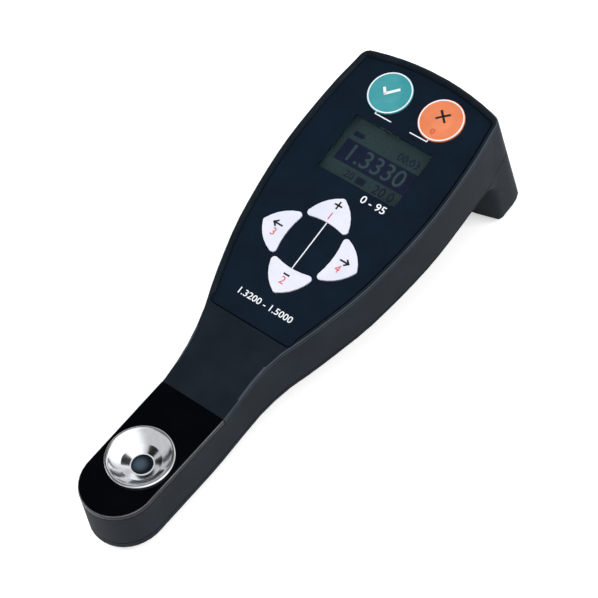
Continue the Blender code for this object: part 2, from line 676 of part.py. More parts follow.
crease_low = RIM_EDGE_RADIUS + CREASE_HEIGHT
upper_rings = [[at(x, along, parting(along) + GAP / 2) for x, along in outer_line],
               skin_ring(0, crease_low),
               skin_ring(CREASE_DEPTH, RIM_EDGE_RADIUS + CREASE_HEIGHT / 2),
               skin_ring(0, RIM_EDGE_RADIUS)]
for step in (1, 2, 3):
    angle = math.pi / 2 * step / 3
    upper_rings.append(skin_ring(RIM_EDGE_RADIUS * (1 - math.cos(angle)),
                                 RIM_EDGE_RADIUS * (1 - math.sin(angle))))
upper_housing = solid("upper_housing", loft("upper_housing", upper_rings), HOUSING_BLACK)
inner_line = side_line(WALL)
upper_room = cutter(loft("upper_room", [
    [at(x, along, parting(along) - OVERRUN) for x, along in inner_line],
    [at(x, along, top_edge(along) - CEILING_DROP) for x, along in inner_line]]))
recess = cutter(loft("panel_recess", [
    [(x, y, -RECESS_FLOOR) for x, y in panel_line(GAP)],
    [(x, y, 0) for x, y in panel_line(GAP)],
    [(x, y, RIM_RISE * 2) for x, y in panel_line(GAP + RIM_SLOPE_WIDTH * 2)]]), head)
plate_seat_height = NOSE_TOP - PLATE_THICKNESS - GAP
plate_seat = cutter(box_mesh("plate_seat", (-HEAD_HALF_WIDTH, -HALF_LENGTH - OVERRUN, plate_seat_height),
                             (HEAD_HALF_WIDTH, NOSE_LENGTH + GAP - HALF_LENGTH, NOSE_TOP + OVERRUN)))
dish_y = DISH_ALONG - HALF_LENGTH
dish_opening = cutter(rod_mesh("dish_opening", DISH_BODY_RADIUS + GAP, plate_seat_height - OVERRUN,
                               NOSE_TOP + OVERRUN, y=dish_y, steps=ROUND_STEPS))
pane_half_width = WINDOW_HALF_WIDTH + PANE_MARGIN
window_opening = cutter(box_mesh(
    "window_opening", (-pane_half_width - GAP, -WINDOW_FRONT - PANE_MARGIN - GAP, -DECK_BOTTOM - OVERRUN),
    (pane_half_width + GAP, -WINDOW_REAR + PANE_MARGIN + GAP, 0)), head)
stem_holes = [cutter(rod_mesh("stem_hole_" + name, STEM_RADIUS + GAP, -DECK_BOTTOM - STEM_HOLE_OVERRUN,
                              0, x, y), head) for name, (x, y) in KEY_PLACES.items()]
board_bosses = []
board_pilots = []
for number, (x, y) in enumerate(BOARD_SCREWS, 1):
    board_bosses.append(cutter(rod_mesh(f"board_boss_{number}", BOARD_BOSS_RADIUS, GAP - BOARD_DEPTH,
                                        DECK_THICKNESS / 2 - DECK_BOTTOM, x, y), head))
    board_pilots.append(cutter(rod_mesh(f"board_pilot_{number}", BOARD_SCREW_RADIUS + GAP, -BOARD_DEPTH,
                                        GAP * 2 - DECK_BOTTOM, x, y), head))
shell_bosses = []
shell_pilots = []
for number, (x, along) in enumerate(SCREW_PLACES, 1):
    foot = underside(along) + PAD_HEIGHT + GAP
    roof = top_edge(along) - CEILING_DROP
    shell_bosses.append(cutter(rod_mesh(f"shell_boss_{number}", BOSS_RADIUS, foot, roof + DECK_THICKNESS / 2,
                                        x, along - HALF_LENGTH)))
    shell_pilots.append(cutter(rod_mesh(f"shell_pilot_{number}", SCREW_RADIUS + GAP, foot - GAP,
                                        foot + SCREW_LENGTH, x, along - HALF_LENGTH)))
cut(upper_housing, upper_room, plate_seat, recess)
join(upper_housing, *board_bosses, *shell_bosses)
cut(upper_housing, dish_opening, window_opening, *stem_holes, *board_pilots, *shell_pilots)

# Lower housing: shallow tray that arches up behind the nose and turns down into the leg


def corner_radius(along):
    """Edge radius of the underside: small on the tray, largest beside the leg's front face."""
    steps = ((LEG_ROOT, TRAY_EDGE_RADIUS), (LEG_FRONT, LEG_FRONT_RADIUS), (LEG_EDGE, LEG_BOTTOM_RADIUS),
             (LEG_FLAT, LEG_CORNER_RADIUS))
    for (start, low), (end, high) in zip(steps, steps[1:]):
        if along < end:
            return low + (high - low) * max(along - start, 0) / (end - start)
    return LEG_CORNER_RADIUS


def inward(along):
    """Unit normal of the underside curve, pointing into the body: (along, up)."""
    if along <= LEG_ROOT or along >= LEG_FLAT:
        return 0, 1
    sine = min((along - LEG_ROOT) / LEG_ROOT_RADIUS, (LEG_FLAT - along) / LEG_EDGE_RADIUS, 1)
    return sine, math.sqrt(1 - sine * sine)


def lower_ring(angle):
    """One ring of the rounded lower edge: angle 0 on the underside, a quarter turn on the side wall."""
    ring = []
    for index, (x, along) in enumerate(outer_line):
        nx, ny = plan_normal(outer_line, index)
        radius = corner_radius(along)
        inset = radius * (1 - math.sin(angle))
        rise = radius * (1 - math.cos(angle))
        push, lift = inward(along)
        if push:
            x += half_width(along + push * rise) - half_width(along)
            nx, ny = 1, 0
        ring.append(at(x - nx * inset, along - ny * inset + push * rise, underside(along) + lift * rise))
    return ring


def above_edge(x, along):
    """Place on the outline straight above the end of the rounded lower edge: (x, along)."""
    push = inward(along)[0] * corner_radius(along)
    return x + half_width(along + push) - half_width(along), along + push


lower_rings = [lower_ring(math.pi / 2 * step / 3) for step in range(4)]
wall_line = [above_edge(x, along) for x, along in outer_line]
lower_rings.append([at(x, along, parting(along) - GAP / 2) for x, along in wall_line])
leg_bulges = [front_bulge(along) for _, along in outer_line]
lower_housing = solid("lower_housing", loft("lower_housing", lower_rings, leg_bulges), HOUSING_BLACK)
room_line = side_line(WALL, WALL)
room_bulges = [front_bulge(along - WALL) for _, along in room_line]
lower_room = cutter(loft("lower_room", [
    [at(x, along, underside(along - WALL) + FLOOR) for x, along in room_line],
    [at(x, along, parting(along) + OVERRUN) for x, along in room_line]], room_bulges))
cell_half = CELL_LENGTH / 2
contact_x = cell_half + NUB_LENGTH + GAP
rib_x = contact_x + CONTACT_THICKNESS + GAP
bay_floor = LEG_STAND + FLOOR
lower_cell_height = bay_floor + GAP + CELL_RADIUS
upper_cell_height = lower_cell_height + CELL_RADIUS * 2 + GAP
bay_top = upper_cell_height + CELL_RADIUS
ribs = []
for side in (-1, 1):
    ends = sorted((side * rib_x, side * (rib_x + RIB_THICKNESS)))
    ribs.append(cutter(box_mesh(
        "rib_left" if side < 0 else "rib_right",
        (ends[0], LEG_EDGE + WALL / 2 - HALF_LENGTH, LEG_STAND + FLOOR / 2),
        (ends[1], BODY_LENGTH - RIB_FROM_REAR - HALF_LENGTH, parting(LEG_ROOT) - GAP))))
cover_opening = cutter(box_mesh(
    "cover_opening", (-COVER_HALF_WIDTH - GAP, COVER_FRONT - HALF_LENGTH, COVER_BOTTOM - GAP),
    (COVER_HALF_WIDTH + GAP, HALF_LENGTH + OVERRUN, COVER_TOP + GAP)))
pads = []
screw_holes = []
for number, (x, along) in enumerate(SCREW_PLACES, 1):
    base = underside(along)
    y = along - HALF_LENGTH
    pads.append(cutter(rod_mesh(f"pad_{number}", PAD_RADIUS, base + FLOOR / 2, base + PAD_HEIGHT, x, y)))
    screw_holes.append(cutter(rod_mesh(f"screw_head_hole_{number}", SCREW_HEAD_RADIUS + GAP, base - OVERRUN,
                                       base + SCREW_RECESS, x, y)))
    screw_holes.append(cutter(rod_mesh(f"screw_hole_{number}", SCREW_RADIUS + GAP, base,
                                       base + PAD_HEIGHT + OVERRUN, x, y)))
leg_foot_x = cell_half - LEG_FOOT_SET_IN
leg_foot_along = BODY_LENGTH - LEG_FOOT_FROM_REAR
FEET = {"foot_nose": (0, NOSE_FOOT_ALONG, NOSE_STAND), "foot_left": (-leg_foot_x, leg_foot_along, LEG_STAND),
        "foot_right": (leg_foot_x, leg_foot_along, LEG_STAND)}
foot_pockets = [cutter(rod_mesh("pocket_" + name, FOOT_RADIUS + GAP, -OVERRUN, stand + FOOT_SINK, x,
                                along - HALF_LENGTH)) for name, (x, along, stand) in FEET.items()]
cut(lower_housing, lower_room)
join(lower_housing, *ribs, *pads)
cut(lower_housing, *screw_holes, *foot_pockets, cover_opening)

for name, (x, along, stand) in FEET.items():
    foot = turned(name, ((0, stand + FOOT_SINK - GAP), (FOOT_RADIUS, stand + FOOT_SINK - GAP),
                         (FOOT_RADIUS, GAP), (FOOT_RADIUS - GAP, 0), (0, 0)), RUBBER, SMALL_ROUND_STEPS)
    foot.location = (x, along - HALF_LENGTH, 0)

# Battery cover: the piece of the leg's rear wall between the shell's opening edges, with finger grooves
battery_cover = solid("battery_cover", loft("battery_cover", lower_rings), HOUSING_BLACK)
cover_block = cutter(box_mesh("cover_block", (-COVER_HALF_WIDTH, COVER_FRONT - HALF_LENGTH, COVER_BOTTOM),
                              (COVER_HALF_WIDTH, HALF_LENGTH + OVERRUN, COVER_TOP)))
combine(battery_cover, [cover_block], "INTERSECT")
cover_room = cutter(loft("cover_room", [
    [at(x, along, underside(along - WALL) - OVERRUN) for x, along in room_line],
    [at(x, along, parting(along) + OVERRUN) for x, along in room_line]]))
grips = []
for number in range(GRIP_COUNT):
    grip_height = COVER_TOP - GRIP_DROP - GRIP_SPACING * number
    grip = cutter(rod_mesh(f"grip_{number}", GRIP_RADIUS, -GRIP_HALF_LENGTH, GRIP_HALF_LENGTH))
    grip.rotation_euler = (0, math.pi / 2, 0)
    grip.location = at(0, BODY_LENGTH, grip_height)
    grips.append(grip)
cut(battery_cover, cover_room, *grips)

# Battery cells and their contacts


def lying(obj, along, height):
    """Lays a turned piece across the leg."""
    obj.rotation_euler = (0, math.pi / 2, 0)
    obj.location = (0, along - HALF_LENGTH, height)


cell_profile = ((0, cell_half + NUB_LENGTH), (NUB_RADIUS, cell_half + NUB_LENGTH), (NUB_RADIUS, cell_half),
                (CELL_RADIUS - CELL_EDGE, cell_half), (CELL_RADIUS, cell_half - CELL_EDGE),
                (CELL_RADIUS, CELL_EDGE - cell_half), (CELL_RADIUS - CELL_EDGE, -cell_half), (0, -cell_half))
flipped_profile = tuple((radius, -height) for radius, height in reversed(cell_profile))
battery_upper = turned("battery_upper", cell_profile, CELL_SILVER, SMALL_ROUND_STEPS)
lying(battery_upper, UPPER_CELL_ALONG, upper_cell_height)
battery_lower = turned("battery_lower", flipped_profile, CELL_SILVER, SMALL_ROUND_STEPS)
lying(battery_lower, LOWER_CELL_ALONG, lower_cell_height)
contact_y = LOWER_CELL_ALONG - HALF_LENGTH
for name, side in (("contact_plate_left", -1), ("contact_plate_right", 1)):
    ends = sorted((side * contact_x, side * (contact_x + CONTACT_THICKNESS)))
    solid(name, box_mesh(
        name, (ends[0], contact_y - CONTACT_HALF_WIDTH, lower_cell_height - CONTACT_HALF_WIDTH),
        (ends[1], contact_y + CONTACT_HALF_WIDTH, bay_top - CELL_RADIUS / 2)), NICKEL)


def contact_spring(name, side, along, height):
    """Conical coil between a cell's flat end and its contact plate."""
    count = int(SPRING_TURNS * SMALL_ROUND_STEPS / 2)
    room = contact_x - cell_half - GAP * 2 - SPRING_WIRE_RADIUS * 2
    curve = bpy.data.curves.new(name, "CURVE")
    curve.dimensions = "3D"
    curve.bevel_depth = SPRING_WIRE_RADIUS
    curve.bevel_resolution = 1
    curve.use_fill_caps = True
    path = curve.splines.new("POLY")
    path.points.add(count)
    for index, point in enumerate(path.points):
        share = index / count
        angle = 2 * math.pi * SPRING_TURNS * share
        radius = SPRING_OUTER_RADIUS + (SPRING_INNER_RADIUS - SPRING_OUTER_RADIUS) * share
        x = side * (contact_x - GAP - SPRING_WIRE_RADIUS - room * share)
        point.co = (x, radius * math.cos(angle), radius * math.sin(angle), 1)
    obj = bpy.data.objects.new(name, curve)
    parts.objects.link(obj)
    obj.location = (0, along - HALF_LENGTH, height)
    curve.materials.append(material(name, *STEEL))


contact_spring("contact_spring_upper", -1, UPPER_CELL_ALONG, upper_cell_height)
contact_spring("contact_spring_lower", 1, LOWER_CELL_ALONG, lower_cell_height)

# Housing screws, driven from below
for number, (x, along) in enumerate(SCREW_PLACES, 1):
    head_top = underside(along) + SCREW_RECESS - GAP
    screw = turned(f"housing_screw_{number}", (
        (0, head_top + SCREW_LENGTH), (SCREW_RADIUS, head_top + SCREW_LENGTH), (SCREW_RADIUS, head_top),
        (SCREW_HEAD_RADIUS, head_top), (SCREW_HEAD_RADIUS, head_top - SCREW_HEAD / 2),
        (SCREW_RADIUS, head_top - SCREW_HEAD), (0, head_top - SCREW_HEAD)), STEEL, SMALL_ROUND_STEPS)
    screw.location = (x, along - HALF_LENGTH, 0)

# Nose plate: covers the whole nose, with the dish's seat turned into it


def plate_ring(inset, height):
    line = [point for point in outer_line if point[1] <= NOSE_LENGTH + MERGE_DISTANCE]
    ring = []
    for index, (x, along) in enumerate(line):
        nx, ny = plan_normal(outer_line, index)
        ring.append(at(x - nx * inset, along - ny * inset, height))
    ring[-1] = at(ring[-1][0], NOSE_LENGTH, height)
    return ring


plate_rings = [plate_ring(0, NOSE_TOP - PLATE_THICKNESS)]
for step in range(4):
    angle = math.pi / 2 * step / 3
    plate_rings.append(plate_ring(PLATE_EDGE_RADIUS * (1 - math.cos(angle)),
                                  NOSE_TOP - PLATE_EDGE_RADIUS * (1 - math.sin(angle))))
nose_plate = solid("nose_plate", loft("nose_plate", plate_rings), GLOSS_BLACK)
counterbore = cutter(rod_mesh("counterbore", DISH_RADIUS, NOSE_TOP - COUNTERBORE_DEPTH, NOSE_TOP + OVERRUN,
                              y=dish_y, steps=ROUND_STEPS))
cut(nose_plate, dish_opening, counterbore)

# Sample dish, its gasket, the prism and the prism's seal
lip_inner = DISH_RADIUS - DISH_LIP_WIDTH
lip_under = GAP * 2 / 3
bowl_width = lip_inner - BOWL_RADIUS
dish_profile = [
    (DISH_RADIUS, lip_under), (DISH_BODY_RADIUS, lip_under), (DISH_BODY_RADIUS, -BOWL_DEPTH / 2),
    ((DISH_BODY_RADIUS + DISH_SEAT_RADIUS) / 2, -BOWL_DEPTH - DISH_SHOULDER), (DISH_SEAT_RADIUS, -DISH_DEPTH),
    (DISH_HOLE_RADIUS, -DISH_DEPTH), (DISH_HOLE_RADIUS, DISH_HOLE_EDGE - DISH_DEPTH),
    (DISH_HOLE_RADIUS + DISH_HOLE_EDGE, DISH_HOLE_EDGE * 2 - DISH_DEPTH)]
dish_profile += [(BOWL_RADIUS + bowl_width * out, -BOWL_DEPTH * down) for out, down in BOWL_SHARES]
dish_profile += [(lip_inner + DISH_LIP_WIDTH * out, DISH_LIP_RISE * up) for out, up in LIP_SHARES]
sample_dish = turned("sample_dish", dish_profile, STAINLESS, closed=True)
sample_dish.location = (0, dish_y, NOSE_TOP)


def flat_ring(name, inner, outer, low, high, look):
    ring = turned(name, ((outer, high), (outer, low), (inner, low), (inner, high)), look, closed=True)
    ring.location = (0, dish_y, NOSE_TOP)


gasket_low = GAP - COUNTERBORE_DEPTH
gasket_inner = DISH_BODY_RADIUS + GAP
flat_ring("dish_gasket", gasket_inner, gasket_inner + GASKET_WIDTH - GAP, gasket_low,
          gasket_low + GASKET_THICKNESS, RUBBER)
seal_top = -DISH_DEPTH - GAP
seal_inner = PRISM_RADIUS + GAP
flat_ring("prism_seal", seal_inner, seal_inner + SEAL_WIDTH, seal_top - SEAL_THICKNESS, seal_top, RUBBER)
block_low = underside(BLOCK_BACK + SENSOR_BOARD_THICKNESS) + FLOOR + GAP
trough_floor = block_low + BLOCK_FLOOR
prism_shoulder = NOSE_TOP + seal_top - SEAL_THICKNESS - GAP
prism_half_width = TROUGH_HALF_WIDTH - GAP
prism_foot = trough_floor + GAP
prism = solid("prism", rod_mesh("prism", PRISM_RADIUS, prism_shoulder - PRISM_OVERLAP,
                                NOSE_TOP - DISH_DEPTH + DISH_HOLE_EDGE, y=dish_y, steps=ROUND_STEPS),
              GLASS_DARK)
prism_side = [(PRISM_LENGTH / 2, prism_shoulder), (-PRISM_LENGTH / 2, prism_shoulder),
              (-PRISM_FOOT_LENGTH / 2, prism_foot), (PRISM_FOOT_LENGTH / 2, prism_foot)]
prism_body = cutter(plate_mesh("prism_body", prism_side, -prism_half_width, prism_half_width))
prism_body.rotation_euler = (math.pi / 2, 0, math.pi / 2)
prism_body.location = (0, dish_y, 0)
join(prism, prism_body)

# Optical block: aluminium trough that carries the prism, lamp, lens and sensor
block_top = NOSE_TOP - DISH_DEPTH - GAP
axis_height = trough_floor + GAP + TROUGH_HALF_WIDTH - GAP
optical_block = solid("optical_block", box_mesh(
    "optical_block", (-BLOCK_HALF_WIDTH, BLOCK_FRONT - HALF_LENGTH, block_low),
    (BLOCK_HALF_WIDTH, BLOCK_BACK - HALF_LENGTH, block_top)), ALUMINIUM)
trim_line = side_line(WALL + GAP)
nose_trim = cutter(loft("nose_trim", [[(x, along - HALF_LENGTH, block_low - OVERRUN) for x, along in trim_line],
                                      [(x, along - HALF_LENGTH, NOSE_TOP) for x, along in trim_line]]))
trough = cutter(box_mesh("trough", (-TROUGH_HALF_WIDTH, BLOCK_FRONT + BLOCK_WALL - HALF_LENGTH, trough_floor),
                         (TROUGH_HALF_WIDTH, BLOCK_BACK + OVERRUN - HALF_LENGTH, NOSE_TOP)))
lamp_hole = cutter(rod_mesh("lamp_hole", LAMP_RADIUS + GAP, -OVERRUN, OVERRUN))
lamp_hole.rotation_euler = (math.pi / 2, 0, 0)
lamp_hole.location = (0, BLOCK_FRONT - HALF_LENGTH, axis_height)
thermo_bottom = block_top - THERMO_LENGTH
thermo_hole = cutter(rod_mesh("thermo_hole", THERMO_RADIUS + GAP, thermo_bottom - GAP, NOSE_TOP, THERMO_OFFSET,
                              dish_y))
combine(optical_block, [nose_trim], "INTERSECT")
cut(optical_block, trough, lamp_hole, thermo_hole)

lamp_profile = [(LAMP_RADIUS * out, LAMP_LENGTH * up) for out, up in LAMP_SHARES]
lamp_profile += [(LAMP_FLANGE_RADIUS, 0), (LAMP_FLANGE_RADIUS, -LAMP_FLANGE), (0, -LAMP_FLANGE)]
light_source = turned("light_source", lamp_profile, LAMP_AMBER, SMALL_ROUND_STEPS)
light_source.rotation_euler = (-math.pi / 2, 0, 0)
light_source.location = (0, BLOCK_FRONT - GAP - HALF_LENGTH, axis_height)

lens_radius = TROUGH_HALF_WIDTH - GAP
lens_bow = LENS_THICKNESS * LENS_BOW_SHARE / 2
lens_flat = LENS_THICKNESS / 2 - lens_bow
lens_shoulder = lens_flat + lens_bow * LENS_SHOULDER_SHARE
lens = turned("lens", (
    (0, lens_flat + lens_bow), (lens_radius / 2, lens_shoulder), (lens_radius, lens_flat),
    (lens_radius, -lens_flat), (lens_radius / 2, -lens_shoulder), (0, -lens_flat - lens_bow)),
    CLEAR, SMALL_ROUND_STEPS)
lens.rotation_euler = (math.pi / 2, 0, 0)
lens.location = (0, LENS_ALONG - HALF_LENGTH, axis_height)

board_y = BLOCK_BACK + GAP - HALF_LENGTH
solid("sensor_board", box_mesh("sensor_board", (-SENSOR_BOARD_HALF_WIDTH, board_y, block_low + GAP),
                               (SENSOR_BOARD_HALF_WIDTH, board_y + SENSOR_BOARD_THICKNESS,
                                block_low + GAP + SENSOR_BOARD_HEIGHT)), BOARD_GREEN)
sensor_back = board_y - GAP
sensor_rise = LINE_SENSOR_HEIGHT / 2
solid("line_sensor", box_mesh(
    "line_sensor", (-LINE_SENSOR_HALF_WIDTH, sensor_back - LINE_SENSOR_DEPTH, axis_height - sensor_rise),
    (LINE_SENSOR_HALF_WIDTH, sensor_back, axis_height + sensor_rise)), CHIP_BLACK)
solid("temperature_sensor", rod_mesh("temperature_sensor", THERMO_RADIUS, thermo_bottom,
                                     thermo_bottom + THERMO_LENGTH, THERMO_OFFSET, dish_y), NICKEL)

# Membrane panel with openings for the window and the keys
membrane_panel = solid("membrane_panel", loft("membrane_panel", [
    [(x, y, -PANEL_THICKNESS) for x, y in panel_line(0)],
    [(x, y, 0) for x, y in panel_line(0)]]), PANEL_BLACK, head)
window_corners = [(side_x * (WINDOW_HALF_WIDTH - WINDOW_CORNER_RADIUS), y) for side_x, y in (
    (-1, WINDOW_CORNER_RADIUS - WINDOW_FRONT), (1, WINDOW_CORNER_RADIUS - WINDOW_FRONT),
    (1, -WINDOW_REAR - WINDOW_CORNER_RADIUS), (-1, -WINDOW_REAR - WINDOW_CORNER_RADIUS))]
window_outline = rounded_outline(window_corners, (0, 0, 0, 0), WINDOW_CORNER_RADIUS, 3)
key_holes = [cutter(plate_mesh("panel_window", window_outline, -PANEL_THICKNESS * 2, PANEL_THICKNESS), head)]
for name, (x, y) in ROUND_PLACES.items():
    key_holes.append(cutter(plate_mesh("hole_" + name, circle(ROUND_KEY_RADIUS + GAP, x, y),
                                       -PANEL_THICKNESS * 2, PANEL_THICKNESS), head))
for name, turn in ARROW_TURNS.items():
    key_holes.append(cutter(plate_mesh("hole_" + name, arrow_outline(GAP, turn),
                                       -PANEL_THICKNESS * 2, PANEL_THICKNESS), head))
cut(membrane_panel, *key_holes)

# Window pane, display, its holder and the main board
pane_top = -PANEL_THICKNESS - GAP
solid("display_window", box_mesh(
    "display_window", (-pane_half_width, -WINDOW_FRONT - PANE_MARGIN, pane_top - PANE_THICKNESS),
    (pane_half_width, -WINDOW_REAR + PANE_MARGIN, pane_top)), CLEAR, head)
lcd_top = pane_top - PANE_THICKNESS - GAP
lcd_half_width = WINDOW_HALF_WIDTH + LCD_MARGIN
solid("lcd_module", box_mesh(
    "lcd_module", (-lcd_half_width, -WINDOW_FRONT - LCD_MARGIN, lcd_top - LCD_THICKNESS),
    (lcd_half_width, -WINDOW_REAR + LCD_MARGIN, lcd_top)), LCD_GREEN, head)
holder_top = lcd_top - LCD_THICKNESS - GAP
solid("lcd_holder", box_mesh("lcd_holder", (-lcd_half_width, -WINDOW_FRONT - LCD_MARGIN, GAP - BOARD_DEPTH),
                             (lcd_half_width, -WINDOW_REAR + LCD_MARGIN, holder_top)), CARRIER_WHITE, head)
board_outline = ((-BOARD_NOSE_HALF_WIDTH, -BOARD_FRONT), (BOARD_NOSE_HALF_WIDTH, -BOARD_FRONT),
                 (BOARD_HALF_WIDTH, -BOARD_TAPER), (BOARD_HALF_WIDTH, BOARD_REAR),
                 (-BOARD_HALF_WIDTH, BOARD_REAR), (-BOARD_HALF_WIDTH, -BOARD_TAPER))
main_board = solid("main_board", plate_mesh("main_board", board_outline, -BOARD_DEPTH - BOARD_THICKNESS,
                                            -BOARD_DEPTH), BOARD_GREEN, head)
board_holes = [cutter(rod_mesh(f"board_hole_{number}", BOARD_SCREW_RADIUS + GAP, -BOARD_DEPTH - OVERRUN,
                               OVERRUN - BOARD_DEPTH, x, y), head)
               for number, (x, y) in enumerate(BOARD_SCREWS, 1)]
cut(main_board, *board_holes)
for number, (x, y) in enumerate(BOARD_SCREWS, 1):
    head_top = -BOARD_DEPTH - BOARD_THICKNESS - GAP
    screw = turned(f"board_screw_{number}", (
        (0, head_top + BOARD_SCREW_LENGTH), (BOARD_SCREW_RADIUS, head_top + BOARD_SCREW_LENGTH),
        (BOARD_SCREW_RADIUS, head_top), (BOARD_SCREW_HEAD_RADIUS, head_top),
        (BOARD_SCREW_HEAD_RADIUS, head_top - BOARD_SCREW_HEAD), (0, head_top - BOARD_SCREW_HEAD)),
        STEEL, SMALL_ROUND_STEPS, parent=head)
    screw.location = (x, y, 0)

# Tact switches on the board, one below each key's stem
for name, (x, y) in KEY_PLACES.items():
    low = GAP - BOARD_DEPTH
    half = SWITCH_SIDE / 2
    body_height = SWITCH_HEIGHT * SWITCH_BODY_SHARE
    switch = solid("switch_" + name, box_mesh("switch_" + name, (x - half, y - half, low),
                                              (x + half, y + half, low + body_height)), CHIP_BLACK, head)
    join(switch, cutter(rod_mesh("plunger_" + name, PLUNGER_RADIUS, low + body_height / 2, low + SWITCH_HEIGHT,
                                 x, y), head))

# Keys: caps that stand a little proud of the panel, each with a stem down to its switch
for name, look in (("ok", TEAL), ("esc", ORANGE)):
    top = KEY_RISE
    key_profile = [(DOME_RADIUS * out, top + DOME_RISE * up) for out, up in DOME_SHARES]
    key_profile += [(ROUND_KEY_RADIUS - KEY_EDGE, top), (ROUND_KEY_RADIUS, top - KEY_EDGE),
                    (ROUND_KEY_RADIUS, top - KEY_THICKNESS), (STEM_RADIUS, top - KEY_THICKNESS),
                    (STEM_RADIUS, -STEM_END), (0, -STEM_END)]
    key = turned("key_" + name, key_profile, look, parent=head)
    x, y = ROUND_PLACES[name]
    key.location = (x, y, 0)
for name, turn in ARROW_TURNS.items():
    x, y = ARROW_PLACES[name]
    key = solid("key_" + name, plate_mesh("key_" + name, arrow_outline(0, turn), KEY_RISE - KEY_THICKNESS,
                                          KEY_RISE, KEY_EDGE), LILAC, head)
    join(key, cutter(rod_mesh("stem_" + name, STEM_RADIUS, -STEM_END, KEY_RISE - KEY_THICKNESS / 2, x, y),
                     head))

# Ribbon cable from the sensor board up to the front of the main board
ribbon_start = (board_y + SENSOR_BOARD_THICKNESS + GAP, axis_height)
front_reach = BOARD_FRONT * math.cos(PANEL_TILT)
board_under = BOARD_DEPTH + BOARD_THICKNESS + GAP * 2
ribbon_end_y = head.location.y - front_reach + board_under * math.sin(PANEL_TILT) + RIBBON_REACH
ribbon_end_z = (PANEL_HEIGHT - BOARD_FRONT * math.sin(PANEL_TILT) - board_under * math.cos(PANEL_TILT)
                + RIBBON_LIFT)


def ribbon_mesh():
    bm = bmesh.new()
    rows = []
    for step in range(SMALL_ROUND_STEPS + 1):
        place = step / SMALL_ROUND_STEPS
        y = ribbon_start[0] + (ribbon_end_y - ribbon_start[0]) * place
        z = ribbon_start[1] + (ribbon_end_z - ribbon_start[1]) * smooth_value(RIBBON_SHARES, place)
        rows.append([bm.verts.new((x, y, z)) for x in (-RIBBON_HALF_WIDTH, RIBBON_HALF_WIDTH)])
    for (a, b), (c, d) in zip(rows, rows[1:]):
        bm.faces.new((a, b, d, c))
    return finished("ribbon_cable", bm)


ribbon = solid("ribbon_cable", ribbon_mesh(), FLEX_AMBER)
thick = ribbon.modifiers.new("thickness", "SOLIDIFY")
thick.thickness = RIBBON_THICKNESS
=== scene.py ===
"""Portable refractometer: a black hand-held instrument with a steel sample dish and a tilted key panel."""
import math

import bmesh
import bpy
from mathutils import Matrix, Vector


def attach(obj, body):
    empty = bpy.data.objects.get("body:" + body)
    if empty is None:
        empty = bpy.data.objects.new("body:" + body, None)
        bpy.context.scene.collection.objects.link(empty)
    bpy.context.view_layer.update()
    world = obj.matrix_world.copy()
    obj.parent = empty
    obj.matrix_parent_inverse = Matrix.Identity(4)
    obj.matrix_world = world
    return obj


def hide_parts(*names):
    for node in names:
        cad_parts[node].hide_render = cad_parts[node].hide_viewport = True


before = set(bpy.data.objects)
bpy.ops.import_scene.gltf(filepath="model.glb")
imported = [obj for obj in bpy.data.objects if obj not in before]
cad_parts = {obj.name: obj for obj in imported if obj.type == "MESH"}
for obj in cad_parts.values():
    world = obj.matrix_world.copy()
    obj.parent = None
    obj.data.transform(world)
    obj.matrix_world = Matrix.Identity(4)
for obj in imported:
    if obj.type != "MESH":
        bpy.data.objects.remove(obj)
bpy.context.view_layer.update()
scene = bpy.context.scene
scene.view_settings.view_transform = "Standard"

# Camera
# A long studio lens looks down on the instrument from its front right.
# It is rolled a little, so that the body lies from corner to corner of the picture.
mm = 0.001
look_at = Vector((3.91, 5.40, 23.5)) * mm
camera_distance = 829.8 * mm
camera_azimuth = math.radians(50.028)
camera_elevation = math.radians(54.249)
camera_roll = math.radians(-13.25)
sight = Vector((-math.sin(camera_azimuth) * math.cos(camera_elevation),
                math.cos(camera_azimuth) * math.cos(camera_elevation),
                -math.sin(camera_elevation)))
lens_data = bpy.data.cameras.new("studio_camera")
lens_data.lens = 153.54
lens_data.sensor_width = 36
camera = bpy.data.objects.new("studio_camera", lens_data)
scene.collection.objects.link(camera)
camera.location = look_at - sight * camera_distance
upright = sight.to_track_quat("-Z", "Y").to_matrix()
camera.rotation_euler = (upright @ Matrix.Rotation(camera_roll, 3, "Z")).to_euler()
scene.camera = camera


# Studio
# A white paper floor runs out to white walls. Black cards hang where the nose plate and the bowl mirror
# them, and a large white card and two softboxes light the body. The paper keeps its faint shadow.
def linear(hex_colour):
    """An sRGB hex colour as linear red, green, blue and alpha."""
    shares = [int(hex_colour[place:place + 2], 16) / 255 for place in (0, 2, 4)]
    return [share / 12.92 if share <= 0.04045 else ((share + 0.055) / 1.055) ** 2.4 for share in shares] + [1]


def add(tree, kind, inputs, **settings):
    """Adds a shader node. An input takes a plain value or another node's output."""
    node = tree.nodes.new("ShaderNode" + kind)
    for name, value in settings.items():
        setattr(node, name, value)
    for name, value in inputs.items():
        if isinstance(value, bpy.types.NodeSocket):
            tree.links.new(value, node.inputs[name])
        else:
            node.inputs[name].default_value = value
    return node


